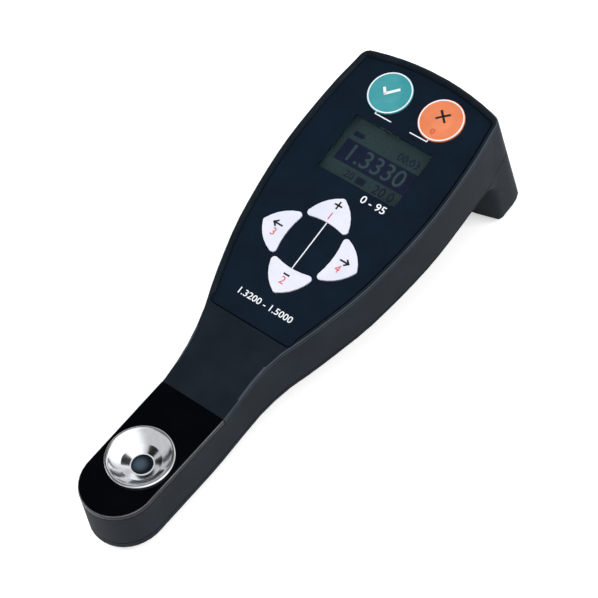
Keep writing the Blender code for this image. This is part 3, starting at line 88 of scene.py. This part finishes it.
room = bpy.data.worlds.new("white_room")
scene.world = room
room.use_nodes = True
room.node_tree.nodes.clear()
wall_level = 0.62
black_card = 0.02
white_card = 2.1
cards = ((148, 55, 23, 4, black_card), (65, 48, 19, 3, black_card), (-131.5, 47, 17, 3, black_card),
         (-178.5, 18, 20, 3, black_card), (15, 38, 75, 35, white_card))
direction = add(room.node_tree, "TexCoord", {}).outputs["Generated"]
shade = wall_level
for azimuth, elevation, half_angle, card_edge, card_level in cards:
    across, up = math.radians(azimuth), math.radians(elevation)
    towards = (math.cos(across) * math.cos(up), math.sin(across) * math.cos(up), math.sin(up))
    facing = add(room.node_tree, "VectorMath", {0: direction, 1: towards}, operation="DOT_PRODUCT")
    opening = add(room.node_tree, "MapRange", {
        "Value": facing.outputs["Value"], "From Min": math.cos(math.radians(half_angle - card_edge)),
        "From Max": math.cos(math.radians(half_angle)), "To Min": card_level, "To Max": 1.0},
        interpolation_type="SMOOTHSTEP")
    shaded = add(room.node_tree, "Math", {0: shade, 1: opening.outputs["Result"]}, operation="MULTIPLY")
    shade = shaded.outputs[0]
path = add(room.node_tree, "LightPath", {})
level = add(room.node_tree, "Math", {0: shade, 1: path.outputs["Is Camera Ray"]}, operation="MAXIMUM")
backdrop = add(room.node_tree, "Background", {"Color": linear("FFFFFF"), "Strength": level.outputs[0]})
add(room.node_tree, "OutputWorld", {"Surface": backdrop.outputs[0]})

floor_radius = 4.0
paper_shape = bmesh.new()
bmesh.ops.create_circle(paper_shape, cap_ends=True, segments=96, radius=floor_radius)
paper_mesh = bpy.data.meshes.new("paper_floor")
paper_shape.to_mesh(paper_mesh)
paper_shape.free()
paper = bpy.data.objects.new("paper_floor", paper_mesh)
scene.collection.objects.link(paper)
paper_white = bpy.data.materials.new("white_background_paper")
paper_white.use_nodes = True
tree = paper_white.node_tree
tree.nodes.clear()
paper_path = add(tree, "LightPath", {})
paper_glow = add(tree, "Math", {0: paper_path.outputs["Is Camera Ray"], 1: 0.45}, operation="MULTIPLY")
paper_body = add(tree, "BsdfPrincipled", {"Base Color": linear("F4F4F4"), "Roughness": 0.9,
                                          "Specular IOR Level": 0.1, "Emission Color": linear("FFFFFF"),
                                          "Emission Strength": paper_glow.outputs[0]})
add(tree, "OutputMaterial", {"Surface": paper_body.outputs[0]})
paper_mesh.materials.append(paper_white)

softboxes = {"softbox_left": (-0.75, -0.5, 0.8, 0.7, 7.0), "softbox_right": (0.9, 0.55, 0.85, 0.6, 5.5)}
for name, (x, y, z, side, watts) in softboxes.items():
    lamp = bpy.data.lights.new(name, "AREA")
    lamp.size = side
    lamp.energy = watts
    box = bpy.data.objects.new(name, lamp)
    scene.collection.objects.link(box)
    box.location = (x, y, z)
    box.visible_glossy = False
    box.rotation_euler = (look_at - box.location).to_track_quat("-Z", "Y").to_euler()


# Housing shells and battery cover
# Two injection-moulded ABS shells meet in a thin parting gap, and the cover closes the rear of the leg.
# The mould was spark-eroded, which gives an even fine grain, and hands have rubbed the rim smoother. The rim
# faces that tilt up and outward also carry a lighter colour, a painted highlight along the ridge.
def new_finish(name):
    """An empty material for one real finish."""
    made = bpy.data.materials.new(name)
    made.use_nodes = True
    made.node_tree.nodes.clear()
    return made


def moulded(name, dark, light, roughness, grain, depth, specular=0.5):
    """Moulded plastic or rubber: clouded colour, and a grain of the given width and depth."""
    made = new_finish(name)
    tree = made.node_tree
    place = add(tree, "TexCoord", {}).outputs["Object"]
    cloud = add(tree, "TexNoise", {"Vector": place, "Scale": 1 / (grain * 30), "Detail": 3.0})
    grains = add(tree, "TexNoise", {"Vector": place, "Scale": 1 / grain, "Detail": 2.0, "Roughness": 0.6})
    both = add(tree, "Math", {0: cloud.outputs["Fac"], 1: grains.outputs["Fac"]}, operation="MULTIPLY")
    spread = add(tree, "MapRange", {"Value": both.outputs[0], "From Min": 0.12, "From Max": 0.4})
    colour = add(tree, "Mix", {0: spread.outputs[0], 6: linear(dark), 7: linear(light)}, data_type="RGBA")
    rough = add(tree, "MapRange", {"Value": grains.outputs["Fac"], "From Min": 0.3, "From Max": 0.7,
                                   "To Min": roughness - 0.05, "To Max": roughness + 0.07})
    bump = add(tree, "Bump", {"Height": grains.outputs["Fac"], "Distance": depth, "Strength": 0.6})
    body = add(tree, "BsdfPrincipled", {"Base Color": colour.outputs[2], "Roughness": rough.outputs[0],
                                        "Specular IOR Level": specular, "Normal": bump.outputs[0]})
    add(tree, "OutputMaterial", {"Surface": body.outputs[0]})
    return made


def merged_copy(node, soft_angle):
    """A copy of a CAD piece with its flat triangles joined and its gentle edges smooth."""
    shape = bmesh.new()
    shape.from_mesh(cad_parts[node].data)
    bmesh.ops.remove_doubles(shape, verts=shape.verts, dist=mm / 1000)
    bmesh.ops.dissolve_limit(shape, angle_limit=math.radians(0.6), verts=shape.verts, edges=shape.edges)
    mesh = bpy.data.meshes.new(node + "_shape")
    shape.to_mesh(mesh)
    shape.free()
    mesh.shade_smooth()
    mesh.set_sharp_from_angle(angle=math.radians(soft_angle))
    return mesh


def show(name, mesh, finish, body, slot, *nodes):
    """Puts a finished mesh on its body, in its finish, and in place of the CAD pieces that it stands for."""
    piece = bpy.data.objects.new(name, mesh)
    scene.collection.objects.link(piece)
    mesh.materials.clear()
    mesh.materials.append(finish)
    even = piece.modifiers.new("even_shading", "WEIGHTED_NORMAL")
    even.keep_sharp = True
    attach(piece, body)
    if nodes:
        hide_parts(*nodes)
    return piece


abs_grain = 0.35 * mm
abs_charcoal = moulded("charcoal_abs_spark_grain", "10171F", "192129", 0.5, abs_grain, 0.02 * mm, 0.11)
# The rim finish is smoother and glossier, and its lighter colour is a painted highlight.
abs_rim_smooth_painted_highlight = moulded("charcoal_abs_smooth_rim_painted_highlight", "2A333E", "38434F", 0.35, abs_grain, 0.005 * mm, 0.3)
highlight_tilt_low, highlight_tilt_high, highlight_outward = 0.45, 0.93, 0.12
for node in ("upper_housing", "lower_housing"):
    shell = show(node + "_shell", merged_copy(node, 32), abs_charcoal, "housing", "housing_abs", node)
    shell.data.materials.append(abs_rim_smooth_painted_highlight)
    # Faces on the upper shell's rim that tilt up and outward take the lighter colour, the painted highlight.
    for face in shell.data.polygons:
        outward = face.normal.x * math.copysign(1, face.center.x)
        if node == "upper_housing" and highlight_tilt_low < face.normal.z < highlight_tilt_high and outward > highlight_outward:
            face.material_index = 1
show("battery_cover_shell", merged_copy("battery_cover", 32), abs_charcoal, "battery_cover_body", "housing_abs",
     "battery_cover")

# Nose plate
# A glossy black acrylic plate is bonded into the nose around the dish.
# Its top is polished like a mirror, and its rounded edge is coloured light grey as a thin bright line, a
# painted highlight.
acrylic_black = new_finish("polished_black_acrylic")
tree = acrylic_black.node_tree
place = add(tree, "TexCoord", {}).outputs["Object"]
haze = add(tree, "TexNoise", {"Vector": place, "Scale": 1 / (9 * mm), "Detail": 4.0})
haze_rough = add(tree, "MapRange", {"Value": haze.outputs["Fac"], "To Min": 0.05, "To Max": 0.16})
haze_colour = add(tree, "Mix", {0: haze.outputs["Fac"], 6: linear("020305"), 7: linear("06080C")},
                  data_type="RGBA")
acrylic_body = add(tree, "BsdfPrincipled", {"Base Color": haze_colour.outputs[2],
                                            "Roughness": haze_rough.outputs[0], "Specular IOR Level": 0.3})
add(tree, "OutputMaterial", {"Surface": acrylic_body.outputs[0]})
# The light grey of the edge band is a painted highlight on the plate's rounded edge.
acrylic_edge = moulded("acrylic_edge_painted_highlight", "3A4046", "6A737A", 0.22, 0.4 * mm, 0.002 * mm)
plate = show("nose_plate_polished", merged_copy("nose_plate", 32), acrylic_black, "housing", "nose_gloss",
             "nose_plate")
plate.data.materials.append(acrylic_edge)
# Edge faces between flat and upright take the painted highlight colour.
for face in plate.data.polygons:
    if 0.3 < face.normal.z < 0.93:
        face.material_index = 1


# Sample dish
# The dish is turned from stainless steel and polished. A rolled lip lies on the gasket, and the bowl narrows
# to a hole over the prism. Turning left faint rings, and polishing a mirror finish over them.
def turned(profile, segments, centre):
    """Turned piece from its (radius, height) profile in millimetres."""
    shape = bmesh.new()
    points = [shape.verts.new((radius * mm, 0, height * mm)) for radius, height in profile]
    for first, second in zip(points, points[1:] + points[:1]):
        if first.co.x > 0 or second.co.x > 0:
            shape.edges.new((first, second))
    bmesh.ops.spin(shape, geom=shape.verts[:] + shape.edges[:], cent=(0, 0, 0), axis=(0, 0, 1),
                   angle=2 * math.pi, steps=segments, use_merge=True)
    bmesh.ops.remove_doubles(shape, verts=shape.verts, dist=mm / 1000)
    bmesh.ops.recalc_face_normals(shape, faces=shape.faces)
    bmesh.ops.translate(shape, vec=centre, verts=shape.verts)
    mesh = bpy.data.meshes.new("turned_shape")
    shape.to_mesh(mesh)
    shape.free()
    mesh.shade_smooth()
    mesh.set_sharp_from_angle(angle=math.radians(35))
    return mesh


dish_centre = Vector((0, -69.95, 22.9)) * mm
dish_profile = ((11.55, 0.2), (10.55, 0.2), (10.55, -1.1), (8.6, -3.25), (6.6, -4.45), (3.72, -4.45),
                (3.72, -4.14), (3.96, -4.14), (4.05, -4.05), (4.15, -4.0), (5.4, -3.36), (6.6, -2.75),
                (6.72, -2.68), (6.82, -2.6), (7.8, -1.84), (8.8, -0.98), (9.6, -0.2), (10.15, 0.42),
                (10.4, 0.72), (10.66, 0.9), (10.98, 0.95), (11.3, 0.87), (11.48, 0.7), (11.55, 0.5))
steel_turned = new_finish("polished_turned_stainless")
tree = steel_turned.node_tree
place = add(tree, "TexCoord", {}).outputs["Object"]
centred = add(tree, "Mapping", {"Vector": place, "Location": -dish_centre})
ring_spacing = 0.25 * mm
rings = add(tree, "TexWave", {"Vector": centred.outputs[0], "Scale": 1 / (ring_spacing * 20),
                              "Distortion": 0.4, "Detail": 2.0}, wave_type="RINGS", rings_direction="Z")
smears = add(tree, "TexNoise", {"Vector": centred.outputs[0], "Scale": 1 / (3 * mm), "Detail": 3.0})
steel_rough = add(tree, "MapRange", {"Value": smears.outputs["Fac"], "To Min": 0.08, "To Max": 0.2})
steel_colour = add(tree, "Mix", {0: smears.outputs["Fac"], 6: linear("DDE0E6"), 7: linear("FAFBFD")},
                   data_type="RGBA")
steel_bump = add(tree, "Bump", {"Height": rings.outputs["Fac"], "Distance": 0.004 * mm, "Strength": 0.5})
turning = add(tree, "Tangent", {}, direction_type="RADIAL", axis="Z")
steel_body = add(tree, "BsdfPrincipled", {"Base Color": steel_colour.outputs[2], "Metallic": 1.0,
                                          "Roughness": steel_rough.outputs[0], "Normal": steel_bump.outputs[0],
                                          "Anisotropic": 0.6, "Tangent": turning.outputs[0]})
add(tree, "OutputMaterial", {"Surface": steel_body.outputs[0]})
show("sample_dish_turned", turned(dish_profile, 96, dish_centre), steel_turned, "housing", "dish_stainless",
     "sample_dish")
# The bead round the prism hole is coloured white, a painted highlight for the bright edge of the hole.
ring_profile = ((3.7, -4.1), (3.94, -4.1), (3.96, -4.0), (3.92, -3.94), (3.83, -3.9), (3.74, -3.94),
                (3.7, -4.0))
ring_painted_highlight_white = moulded("white_ring_painted_highlight", "E6E9EE", "F6F8FA", 0.4, 0.2 * mm, 0.002 * mm)
show("prism_ring", turned(ring_profile, 96, dish_centre), ring_painted_highlight_white, "housing", "dish_stainless")

# Prism
# The top of the glass prism closes the hole of the dish.
# It looks dark, with a paler middle painted into its colour, a painted glow for light that comes back from
# below.
prism_glass = new_finish("polished_prism_glass")
tree = prism_glass.node_tree
place = add(tree, "TexCoord", {}).outputs["Object"]
centred = add(tree, "Mapping", {"Vector": place, "Location": -dish_centre - Vector((-0.6, -0.4, -4)) * mm})
reach = add(tree, "VectorMath", {0: centred.outputs[0]}, operation="LENGTH")
# The colour gets paler towards the middle of the prism top: a painted glow.
prism_painted_glow = add(tree, "MapRange", {"Value": reach.outputs["Value"], "From Min": 0.8 * mm, "From Max": 3.4 * mm},
           interpolation_type="SMOOTHSTEP")
swirl = add(tree, "TexNoise", {"Vector": place, "Scale": 1 / (2 * mm)})
prism_colour_with_painted_glow = add(tree, "Mix", {0: prism_painted_glow.outputs[0], 6: linear("42505C"), 7: linear("141B22")},
                   data_type="RGBA")
glass_rough = add(tree, "MapRange", {"Value": swirl.outputs["Fac"], "To Min": 0.03, "To Max": 0.12})
glass_body = add(tree, "BsdfPrincipled", {"Base Color": prism_colour_with_painted_glow.outputs[2],
                                          "Roughness": glass_rough.outputs[0]})
add(tree, "OutputMaterial", {"Surface": glass_body.outputs[0]})
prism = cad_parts["prism"]
prism.data.materials.clear()
prism.data.materials.append(prism_glass)

# Key panel
# A printed polyester film on a stiff carrier fills the tilted head, sunk a little below the rim.
# Its hard matt coat is nearly black with a touch of blue.
head_place = Matrix.Translation(Vector((0, 76.40, 46.27)) * mm) @ Matrix.Rotation(math.radians(10.5), 4, "X")
film_navy = moulded("matt_navy_polyester_film", "0B1622", "0F1C2B", 0.42, 0.3 * mm, 0.004 * mm, 0.1)
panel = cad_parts["membrane_panel"]
panel.data.materials.clear()
panel.data.materials.append(film_navy)

# Round keys
# Two round domes are moulded into coloured caps with a white ring printed at the rim.
round_places = {"ok": (-10.68, 0), "esc": (10.68, 0)}
key_profile = ((0, 0.75), (0.9, 0.735), (1.85, 0.685), (2.7, 0.59), (3.4, 0.45), (3.85, 0.34), (4.25, 0.3),
               (7.8, 0.3), (7.94, 0.24), (8.0, 0.1), (8.0, -0.5), (2.0, -0.5), (2.0, -4.9), (0, -4.9))
key_teal = moulded("teal_printed_key_film", "2F8A92", "4B9FA6", 0.38, 0.3 * mm, 0.004 * mm)
key_orange = moulded("orange_printed_key_film", "D9764A", "E68A60", 0.38, 0.3 * mm, 0.004 * mm)
print_white = moulded("white_screen_ink", "E4E8EE", "F4F6FA", 0.45, 0.2 * mm, 0.003 * mm)
print_dark = moulded("black_screen_ink", "0A0C10", "14171D", 0.45, 0.2 * mm, 0.003 * mm)
print_red = moulded("red_screen_ink", "C8433F", "D85A52", 0.45, 0.2 * mm, 0.003 * mm)
print_profile = ((7.35, 0.33), (7.35, 0.29), (7.78, 0.29), (7.78, 0.33))
round_finishes = {"ok": (key_teal, "key_teal"), "esc": (key_orange, "key_orange")}
for name, (x, y) in round_places.items():
    finish, slot = round_finishes[name]
    body = f"key_{name}_body"
    cap = turned(key_profile, 72, (x * mm, y * mm, 0))
    cap.transform(head_place)
    show(f"key_{name}_cap", cap, finish, body, slot, "key_" + name)
    ring = turned(print_profile, 72, (x * mm, y * mm, 0))
    ring.transform(head_place)
    show(f"key_{name}_ring", ring, print_white, body, slot)

# Arrow keys
# Four pale lilac keys with curved sides stand in a ring around a white line.
key_lilac = moulded("lilac_printed_key_film", "D5D9EA", "E6E6F2", 0.4, 0.3 * mm, 0.004 * mm)
for name in ("up", "down", "left", "right"):
    cap = merged_copy("key_" + name, 32)
    show(f"key_{name}_cap", cap, key_lilac, f"key_{name}_body", "key_lilac", "key_" + name)


# Printed lines
# Thin white lines on the film join the up and down keys and bracket the two round keys.
def strip(start, end, width, low, high):
    """A flat printed bar between two places in the head's plane, in millimetres."""
    run = Vector(end) - Vector(start)
    shape = bmesh.new()
    bmesh.ops.create_cube(shape, size=1)
    bmesh.ops.scale(shape, vec=(run.length + width, width, high - low), verts=shape.verts)
    bmesh.ops.bevel(shape, geom=shape.edges[:], offset=min(width, high - low) / 4, segments=1, profile=0.5,
                    affect="EDGES", material=-1)
    bmesh.ops.rotate(shape, cent=(0, 0, 0), matrix=Matrix.Rotation(math.atan2(run.y, run.x), 3, "Z"),
                     verts=shape.verts)
    middle = (Vector(start) + Vector(end)) / 2
    bmesh.ops.translate(shape, vec=(middle.x, middle.y, (low + high) / 2), verts=shape.verts)
    bmesh.ops.scale(shape, vec=(mm, mm, mm), verts=shape.verts)
    mesh = bpy.data.meshes.new("strip_shape")
    shape.to_mesh(mesh)
    shape.free()
    mesh.transform(head_place)
    return mesh


film_top = (-0.01, 0.03)
print_lines = {"print_centre_line": ((0, -49.9), (0, -68.9)),
               "print_bracket_left": ((-4.1, -8.75), (-10.6, -8.7)),
               "print_bracket_right": ((4.15, -8.82), (10.9, -8.82)),
               "print_tick_left": ((-10.6, -8.65), (-10.6, -7.6)),
               "print_tick_right": ((11.0, -8.75), (11.0, -7.6))}
for name, (start, end) in print_lines.items():
    show(name, strip(start, end, 0.4, *film_top), print_white, "housing", "panel_film")


# Key signs and plain numbers
# Screen-printed signs stand on the keys: a tick, a cross, plus, minus and arrows, with small red numbers.
# The panel carries only the measuring range, in plain white digits.
def digits(text, size, middle, low, high, stretch=1.0, weight=0.03):
    """Printed digits as a thin flat mesh around a place in the head's plane, in millimetres."""
    curve = bpy.data.curves.new("digits", "FONT")
    curve.body = text
    curve.size = size * mm
    curve.extrude = (high - low) / 2 * mm
    curve.align_x = "CENTER"
    curve.align_y = "CENTER"
    curve.offset = weight * mm
    curve.resolution_u = 3
    carrier = bpy.data.objects.new("digits", curve)
    scene.collection.objects.link(carrier)
    mesh = bpy.data.meshes.new_from_object(carrier.evaluated_get(bpy.context.evaluated_depsgraph_get()))
    bpy.data.objects.remove(carrier)
    mesh.transform(Matrix.Diagonal((stretch, 1, 1, 1)))
    mesh.transform(Matrix.Translation(Vector((*middle, (low + high) / 2)) * mm))
    mesh.transform(head_place)
    return mesh


arrow_top = (0.29, 0.34)
dome_top = (0.6, 0.8)
key_strips = {
    "up_plus_across": ("up", (-1.5, -42.7), (0.9, -42.7), print_dark),
    "up_plus_along": ("up", (-0.3, -41.5), (-0.3, -43.9), print_dark),
    "down_minus": ("down", (-0.9, -71.6), (0.9, -71.6), print_dark),
    "left_shaft": ("left", (-15.6, -58.2), (-12.4, -58.2), print_dark),
    "left_barb_high": ("left", (-15.6, -58.2), (-14.5, -57.2), print_dark),
    "left_barb_low": ("left", (-15.6, -58.2), (-14.5, -59.2), print_dark),
    "right_shaft": ("right", (12.4, -58.2), (15.6, -58.2), print_dark),
    "right_barb_high": ("right", (15.6, -58.2), (14.5, -57.2), print_dark),
    "right_barb_low": ("right", (15.6, -58.2), (14.5, -59.2), print_dark)}
for name, (key, start, end, ink) in key_strips.items():
    show("sign_" + name, strip(start, end, 0.62, *arrow_top), ink, f"key_{key}_body", "key_lilac")
key_numbers = {"up": ("1", (-0.4, -47.3)), "down": ("2", (0, -74.0)), "left": ("3", (-13.6, -61.4)),
               "right": ("4", (13.4, -61.4))}
for key, (text, middle) in key_numbers.items():
    number = digits(text, 4.0, middle, *arrow_top, 1, 0)
    show(f"number_{key}", number, print_red, f"key_{key}_body", "key_lilac")
tick_strips = {"tick_short": ((-13.2, 0.4), (-11.8, -1.2)), "tick_long": ((-11.8, -1.2), (-8.4, 2.2))}
for name, (start, end) in tick_strips.items():
    show("sign_" + name, strip(start, end, 0.95, *dome_top), print_white, "key_ok_body", "key_teal")
cross_strips = {"cross_rising": ((9.0, -0.2), (12.2, 2.8)), "cross_falling": ((9.0, 2.8), (12.2, -0.2))}
for name, (start, end) in cross_strips.items():
    show("sign_" + name, strip(start, end, 0.75, *dome_top), print_dark, "key_esc_body", "key_orange")
show("number_esc", digits("0", 3.2, (10.6, -4.9), *arrow_top), print_red, "key_esc_body", "key_orange")
index_range = digits("1.3200 - 1.5000", 3.3, (0.2, -83.9), *film_top, 1.1)
show("number_range", index_range, print_white, "housing", "panel_film")
show("number_scale", digits("0 - 95", 3.9, (9.6, -36.8), *film_top, 1.1), print_white, "housing", "panel_film")

# Display reading
# The reflective display shows a dark band with the reading left clear in it, and small figures around it.
lcd_dark = moulded("dark_lcd_segments", "08183A", "0C1F46", 0.35, 0.4 * mm, 0.001 * mm)
lcd_clear = moulded("clear_lcd_segments", "42565A", "4E6468", 0.35, 0.4 * mm, 0.001 * mm)
lcd_face = -2.6
dark_layer = (lcd_face + 0.02, lcd_face + 0.06)
clear_layer = (lcd_face + 0.06, lcd_face + 0.1)


def bar(low_x, high_x, low_y, high_y, layer):
    """A flat rectangle on the display."""
    width = high_y - low_y
    middle = (low_y + high_y) / 2
    return strip((low_x + width / 2, middle), (high_x - width / 2, middle), width, *layer)


show("lcd_band", bar(-14.2, 15.2, -28.3, -19.9, dark_layer), lcd_dark, "housing", "lcd")
show("lcd_reading", digits("1.3330", 9.2, (0.2, -24.2), *clear_layer, 0.98), lcd_clear, "housing", "lcd")
show("lcd_battery", bar(-13.4, -9.6, -18.2, -16.4, dark_layer), lcd_dark, "housing", "lcd")
show("lcd_battery_tip", bar(-9.5, -9.0, -17.6, -17.0, dark_layer), lcd_dark, "housing", "lcd")
show("lcd_clock", digits("00:03", 4.2, (9.2, -17.2), *dark_layer, 0.95), lcd_dark, "housing", "lcd")
show("lcd_box", bar(-2.4, 1.2, -32.4, -29.9, dark_layer), lcd_dark, "housing", "lcd")
show("lcd_small", digits("20", 3.8, (-5.4, -31.1), *dark_layer), lcd_dark, "housing", "lcd")
show("lcd_temperature", digits("20.0", 5.0, (8.8, -31.2), *dark_layer), lcd_dark, "housing", "lcd")

# Inner parts
# Boards, cells, contacts, seals and screws, each in the finish of its own material.
finishes = {
    moulded("black_nitrile_rubber", "101112", "1B1C1D", 0.8, 0.25 * mm, 0.02 * mm):
        ("dish_gasket", "prism_seal", "foot_nose", "foot_left", "foot_right"),
    moulded("silver_anodised_aluminium", "8C8F93", "A3A6AA", 0.4, 0.2 * mm, 0.004 * mm): ("optical_block",),
    moulded("green_solder_mask", "0E3A22", "175031", 0.4, 0.8 * mm, 0.006 * mm): ("main_board", "sensor_board"),
    moulded("black_epoxy_package", "121315", "1E1F22", 0.5, 0.2 * mm, 0.006 * mm):
        ("line_sensor", "switch_ok", "switch_esc", "switch_up", "switch_down", "switch_left", "switch_right"),
    moulded("bright_nickel_plate", "B9B5A8", "D2CFC4", 0.28, 0.3 * mm, 0.003 * mm):
        ("temperature_sensor", "contact_plate_left", "contact_plate_right"),
    moulded("zinc_plated_steel", "8E9196", "B0B3B8", 0.35, 0.3 * mm, 0.004 * mm):
        tuple(f"{kind}_{number}" for kind in ("board_screw", "housing_screw") for number in (1, 2, 3, 4))
        + ("contact_spring_upper", "contact_spring_lower"),
    moulded("white_acetal_carrier", "C9C9C4", "DCDCD8", 0.5, 0.3 * mm, 0.005 * mm): ("lcd_holder",),
    moulded("amber_lamp_resin", "B98A2C", "D8A840", 0.15, 0.5 * mm, 0.001 * mm): ("light_source",),
    moulded("clear_lens_glass", "B8C4C8", "D0DADC", 0.05, 1.0 * mm, 0.0005 * mm): ("lens",),
    moulded("shrunk_cell_sleeve", "5C6066", "7C8188", 0.35, 0.4 * mm, 0.004 * mm):
        ("battery_upper", "battery_lower"),
    moulded("amber_flex_film", "7A4A18", "94602A", 0.4, 0.4 * mm, 0.003 * mm): ("ribbon_cable",),
    moulded("reflective_lcd_glass", "34484C", "40565A", 0.3, 0.3 * mm, 0.001 * mm): ("lcd_module",),
}
for finish, nodes in finishes.items():
    for node in nodes:
        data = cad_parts[node].data
        data.materials.clear()
        data.materials.append(finish)

# Display window
# A clear acrylic pane sits behind the opening in the film, over the display.
pane_clear = new_finish("clear_acrylic_pane")
tree = pane_clear.node_tree
place = add(tree, "TexCoord", {}).outputs["Object"]
pane_haze = add(tree, "TexNoise", {"Vector": place, "Scale": 1 / (6 * mm), "Detail": 2.0})
pane_rough = add(tree, "MapRange", {"Value": pane_haze.outputs["Fac"], "To Min": 0.0, "To Max": 0.04})
pane_body = add(tree, "BsdfPrincipled", {"Base Color": linear("F4F8F8"), "Roughness": pane_rough.outputs[0],
                                         "Transmission Weight": 1.0, "IOR": 1.49})
add(tree, "OutputMaterial", {"Surface": pane_body.outputs[0]})
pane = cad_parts["display_window"]
pane.data.materials.clear()
pane.data.materials.append(pane_clear)
